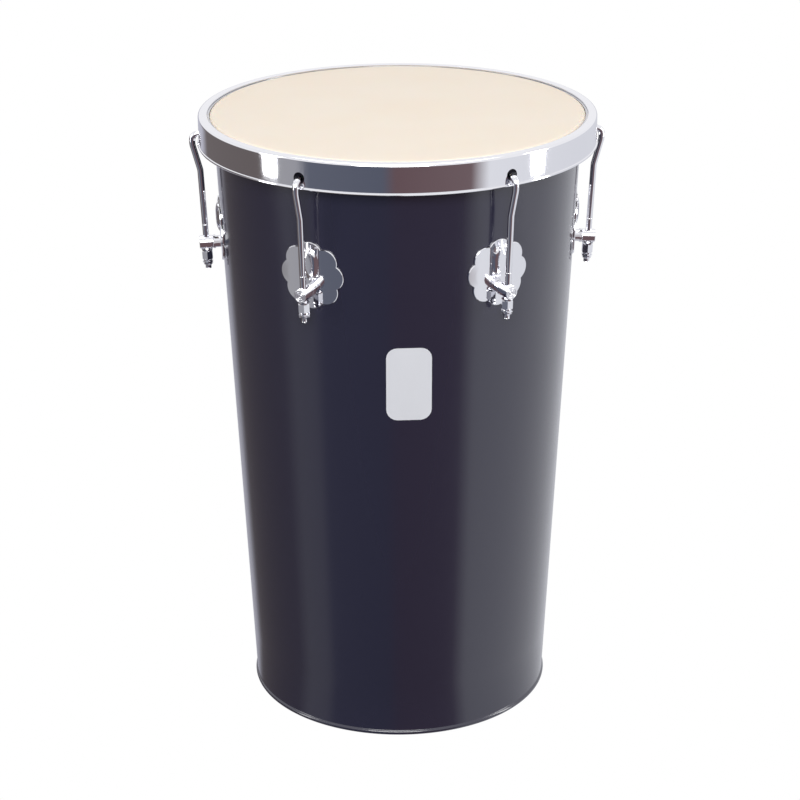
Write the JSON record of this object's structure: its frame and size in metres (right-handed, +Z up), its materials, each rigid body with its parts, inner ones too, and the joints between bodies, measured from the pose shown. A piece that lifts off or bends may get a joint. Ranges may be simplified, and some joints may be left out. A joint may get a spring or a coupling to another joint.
{
  "type": "hand drum",
  "caption": "Tall tapered hand drum, open at the foot, with one flat head drawn down by a chromed hoop, hooked rods and swivelling lugs.",
  "frame": {"origin": "centre of the base's resting plane", "axes": "+Z up along the drum's axis, label towards -Y"},
  "size_m": [0.401, 0.3854, 0.6],
  "materials": {
    "shell_paint": "gloss navy paint over rolled sheet",
    "label_film": "pale satin film, bare",
    "skin": "matte cream skin",
    "plated_steel": "plated",
    "chrome": "polished"
  },
  "bodies": {
    "drum_shell": {"shell": "shell_paint", "label": "label_film", "lug_plate_1": "chrome", "pivot_collar_1": "chrome", "pivot_bolt_1": "plated_steel", "boss_screw_1": "plated_steel", "lug_plate_2": "chrome", "pivot_collar_2": "chrome", "pivot_bolt_2": "plated_steel", "boss_screw_2": "plated_steel", "lug_plate_3": "chrome", "pivot_collar_3": "chrome", "pivot_bolt_3": "plated_steel", "boss_screw_3": "plated_steel", "lug_plate_4": "chrome", "pivot_collar_4": "chrome", "pivot_bolt_4": "plated_steel", "boss_screw_4": "plated_steel", "lug_plate_5": "chrome", "pivot_collar_5": "chrome", "pivot_bolt_5": "plated_steel", "boss_screw_5": "plated_steel", "lug_plate_6": "chrome", "pivot_collar_6": "chrome", "pivot_bolt_6": "plated_steel", "boss_screw_6": "plated_steel"},
    "hoop_and_head": {"counter_hoop": "chrome", "flesh_hoop": "plated_steel", "head_skin": "skin"},
    "swivel_1": {"swivel_barrel_1": "chrome", "nut_washer_1": "chrome"},
    "hook_1": {"hook_rod_1": "chrome"},
    "nut_1": {"tuning_nut_1": "chrome"},
    "swivel_2": {"swivel_barrel_2": "chrome", "nut_washer_2": "chrome"},
    "hook_2": {"hook_rod_2": "chrome"},
    "nut_2": {"tuning_nut_2": "chrome"},
    "swivel_3": {"swivel_barrel_3": "chrome", "nut_washer_3": "chrome"},
    "hook_3": {"hook_rod_3": "chrome"},
    "nut_3": {"tuning_nut_3": "chrome"},
    "swivel_4": {"swivel_barrel_4": "chrome", "nut_washer_4": "chrome"},
    "hook_4": {"hook_rod_4": "chrome"},
    "nut_4": {"tuning_nut_4": "chrome"},
    "swivel_5": {"swivel_barrel_5": "chrome", "nut_washer_5": "chrome"},
    "hook_5": {"hook_rod_5": "chrome"},
    "nut_5": {"tuning_nut_5": "chrome"},
    "swivel_6": {"swivel_barrel_6": "chrome", "nut_washer_6": "chrome"},
    "hook_6": {"hook_rod_6": "chrome"},
    "nut_6": {"tuning_nut_6": "chrome"}
  },
  "joints": [
    {"name": "hoop_lift", "type": "slide", "parent": "drum_shell", "child": "hoop_and_head", "axis": [0, 0, 1], "range_m": [0, 0.004]},
    {"name": "barrel_swivel_1", "type": "hinge", "parent": "drum_shell", "child": "swivel_1", "pos_m": [0.08574, -0.1485, 0.471], "axis": [0.4994, -0.8651, -0.0472], "range_deg": [-0.5, 0.5]},
    {"name": "hook_lift_1", "type": "slide", "parent": "swivel_1", "child": "hook_1", "axis": [0.0236, -0.0409, 0.9989], "range_m": [0, 0.004]},
    {"name": "nut_turn_1", "type": "hinge", "parent": "swivel_1", "child": "nut_1", "pos_m": [0.09373, -0.16234, 0.47024], "axis": [0.0236, -0.0409, 0.9989], "continuous": true},
    {"name": "barrel_swivel_2", "type": "hinge", "parent": "drum_shell", "child": "swivel_2", "pos_m": [0.17147, 0, 0.471], "axis": [0.9989, 0, -0.0472], "range_deg": [-0.5, 0.5]},
    {"name": "hook_lift_2", "type": "slide", "parent": "swivel_2", "child": "hook_2", "axis": [0.0472, 0, 0.9989], "range_m": [0, 0.004]},
    {"name": "nut_turn_2", "type": "hinge", "parent": "swivel_2", "child": "nut_2", "pos_m": [0.18745, 0, 0.47024], "axis": [0.0472, 0, 0.9989], "continuous": true},
    {"name": "barrel_swivel_3", "type": "hinge", "parent": "drum_shell", "child": "swivel_3", "pos_m": [0.08574, 0.1485, 0.471], "axis": [0.4994, 0.8651, -0.0472], "range_deg": [-0.5, 0.5]},
    {"name": "hook_lift_3", "type": "slide", "parent": "swivel_3", "child": "hook_3", "axis": [0.0236, 0.0409, 0.9989], "range_m": [0, 0.004]},
    {"name": "nut_turn_3", "type": "hinge", "parent": "swivel_3", "child": "nut_3", "pos_m": [0.09373, 0.16234, 0.47024], "axis": [0.0236, 0.0409, 0.9989], "continuous": true},
    {"name": "barrel_swivel_4", "type": "hinge", "parent": "drum_shell", "child": "swivel_4", "pos_m": [-0.08574, 0.1485, 0.471], "axis": [-0.4994, 0.8651, -0.0472], "range_deg": [-0.5, 0.5]},
    {"name": "hook_lift_4", "type": "slide", "parent": "swivel_4", "child": "hook_4", "axis": [-0.0236, 0.0409, 0.9989], "range_m": [0, 0.004]},
    {"name": "nut_turn_4", "type": "hinge", "parent": "swivel_4", "child": "nut_4", "pos_m": [-0.09373, 0.16234, 0.47024], "axis": [-0.0236, 0.0409, 0.9989], "continuous": true},
    {"name": "barrel_swivel_5", "type": "hinge", "parent": "drum_shell", "child": "swivel_5", "pos_m": [-0.17147, 0, 0.471], "axis": [-0.9989, 0, -0.0472], "range_deg": [-0.5, 0.5]},
    {"name": "hook_lift_5", "type": "slide", "parent": "swivel_5", "child": "hook_5", "axis": [-0.0472, 0, 0.9989], "range_m": [0, 0.004]},
    {"name": "nut_turn_5", "type": "hinge", "parent": "swivel_5", "child": "nut_5", "pos_m": [-0.18745, 0, 0.47024], "axis": [-0.0472, 0, 0.9989], "continuous": true},
    {"name": "barrel_swivel_6", "type": "hinge", "parent": "drum_shell", "child": "swivel_6", "pos_m": [-0.08574, -0.1485, 0.471], "axis": [-0.4994, -0.8651, -0.0472], "range_deg": [-0.5, 0.5]},
    {"name": "hook_lift_6", "type": "slide", "parent": "swivel_6", "child": "hook_6", "axis": [-0.0236, -0.0409, 0.9989], "range_m": [0, 0.004]},
    {"name": "nut_turn_6", "type": "hinge", "parent": "swivel_6", "child": "nut_6", "pos_m": [-0.09373, -0.16234, 0.47024], "axis": [-0.0236, -0.0409, 0.9989], "continuous": true}
  ],
  "couplings": [
    {"joint": "hook_lift_1", "follows": "hoop_lift", "ratio": 1},
    {"joint": "hook_lift_2", "follows": "hoop_lift", "ratio": 1},
    {"joint": "hook_lift_3", "follows": "hoop_lift", "ratio": 1},
    {"joint": "hook_lift_4", "follows": "hoop_lift", "ratio": 1},
    {"joint": "hook_lift_5", "follows": "hoop_lift", "ratio": 1},
    {"joint": "hook_lift_6", "follows": "hoop_lift", "ratio": 1}
  ]
}
